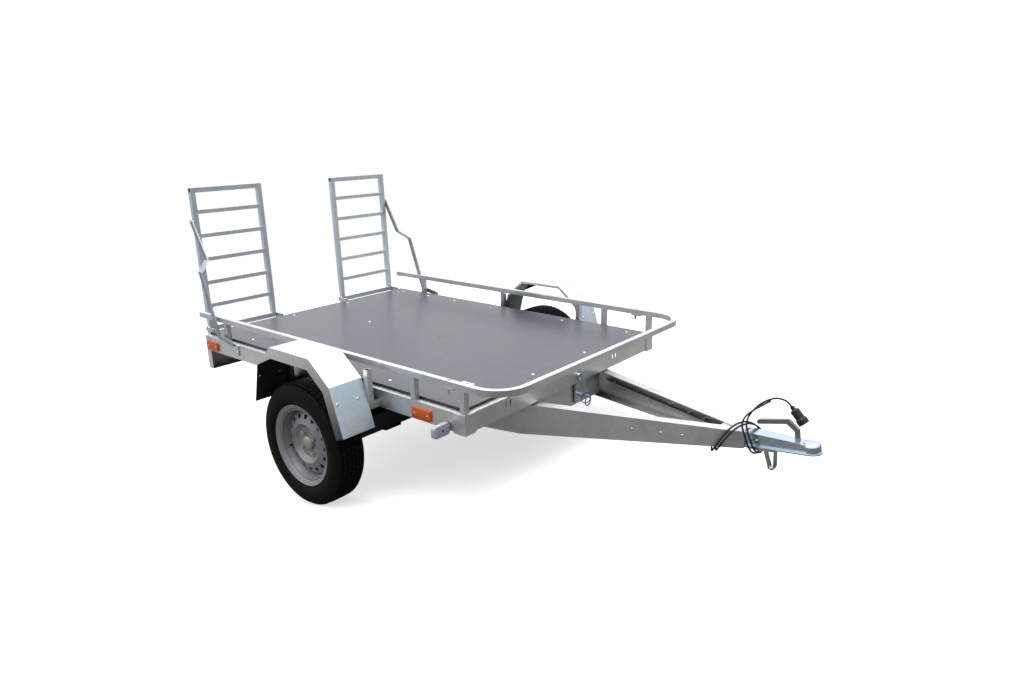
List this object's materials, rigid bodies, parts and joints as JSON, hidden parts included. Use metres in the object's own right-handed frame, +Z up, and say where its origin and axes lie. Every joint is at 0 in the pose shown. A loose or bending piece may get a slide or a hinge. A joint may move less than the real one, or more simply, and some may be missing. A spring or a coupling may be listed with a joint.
{
  "type": "tilting flatbed trailer with loading ramps",
  "caption": "Light flatbed trailer with a tilting plywood deck, low guard rails, mudguards, fold-down ladder ramps at the rear and a ball coupling.",
  "frame": {"origin": "middle of the bounding box, on the ground", "axes": "+X towards the coupling, +Y to the trailer's left, +Z up; the trailer stands parked on its wheels and its coupling foot, nose down"},
  "size_m": [2.9822, 1.882, 1.5225],
  "materials": {
    "galvanised_steel": "hot-dip galvanised, faint spangle",
    "zinc_steel": "bright zinc plate",
    "wheel_steel": "silver paint",
    "hub_steel": "zinc plate",
    "tyre_rubber": "matt",
    "film_plywood": "phenolic film, slightly glossy",
    "amber_plastic": "moulded prisms",
    "red_plastic": "moulded lens",
    "grey_plastic": "moulded",
    "cable_rubber": "matt",
    "black_plastic": "moulded"
  },
  "bodies": {
    "chassis": {"drawbar_arm_right": "galvanised_steel", "drawbar_arm_left": "galvanised_steel", "drawbar_cross_member": "galvanised_steel", "nose_tube": "galvanised_steel", "coupling_body": "zinc_steel", "coupling_handle": "zinc_steel", "coupling_bolts": "zinc_steel", "parking_foot": "zinc_steel", "axle_tube": "galvanised_steel", "axle_clamps": "galvanised_steel", "suspension_arms": "galvanised_steel", "pivot_pins": "zinc_steel", "lamp_cable": "cable_rubber", "cable_clips": "galvanised_steel", "cable_loop": "cable_rubber", "cable_twin": "cable_rubber", "plug": "black_plastic"},
    "wheel_right": {"tyre_right": "tyre_rubber", "rim_right": "wheel_steel", "hub_right": "hub_steel"},
    "wheel_left": {"tyre_left": "tyre_rubber", "rim_left": "wheel_steel", "hub_left": "hub_steel"},
    "ramp_right": {"ramp_right": "galvanised_steel"},
    "ramp_left": {"ramp_left": "galvanised_steel"},
    "stay_right": {"ramp_stay_right": "galvanised_steel"},
    "stay_left": {"ramp_stay_left": "galvanised_steel"},
    "bed": {"side_beam_right": "galvanised_steel", "side_beam_left": "galvanised_steel", "front_beam": "galvanised_steel", "rear_beam": "galvanised_steel", "bed_cross_members": "galvanised_steel", "deck": "film_plywood", "side_rail_right": "galvanised_steel", "side_rail_left": "galvanised_steel", "front_rail": "galvanised_steel", "rail_posts": "galvanised_steel", "corner_plates": "galvanised_steel", "mudguard_right": "galvanised_steel", "mudguard_left": "galvanised_steel", "mudguard_stays": "galvanised_steel", "rear_lamp_board": "galvanised_steel", "tail_lamps": "red_plastic", "side_reflectors": "amber_plastic", "marker_lamps": "grey_plastic", "marker_arms": "galvanised_steel", "pivot_lugs": "galvanised_steel", "ramp_lugs": "galvanised_steel", "stay_brackets": "galvanised_steel", "lock_tab": "galvanised_steel", "lock_pin": "zinc_steel", "rail_eye": "galvanised_steel"}
  },
  "joints": [
    {"name": "wheel_right_spin", "type": "hinge", "parent": "chassis", "child": "wheel_right", "pos_m": [-0.39611, -0.843, 0.277], "axis": [0, 1, 0], "continuous": true},
    {"name": "wheel_left_spin", "type": "hinge", "parent": "chassis", "child": "wheel_left", "pos_m": [-0.39611, 0.843, 0.277], "axis": [0, 1, 0], "continuous": true},
    {"name": "bed_tilt", "type": "hinge", "parent": "chassis", "child": "bed", "pos_m": [-0.69166, 0, 0.48474], "axis": [0, -1, 0], "range_deg": [0, 12]},
    {"name": "ramp_right_fold", "type": "hinge", "parent": "bed", "child": "ramp_right", "pos_m": [-1.47508, -0.4475, 0.77692], "axis": [0, -1, 0], "range_deg": [0, 134]},
    {"name": "ramp_left_fold", "type": "hinge", "parent": "bed", "child": "ramp_left", "pos_m": [-1.47508, 0.4475, 0.77692], "axis": [0, -1, 0], "range_deg": [0, 134]},
    {"name": "stay_right_swing", "type": "hinge", "parent": "ramp_right", "child": "stay_right", "pos_m": [-1.37844, -0.666, 1.34881], "axis": [0, -1, 0], "range_deg": [-28, 0]},
    {"name": "stay_left_swing", "type": "hinge", "parent": "ramp_left", "child": "stay_left", "pos_m": [-1.37844, 0.666, 1.34881], "axis": [0, -1, 0], "range_deg": [-28, 0]}
  ],
  "couplings": [
    {"joint": "stay_right_swing", "follows": "ramp_right_fold", "ratio": -0.209},
    {"joint": "stay_left_swing", "follows": "ramp_left_fold", "ratio": -0.209}
  ]
}
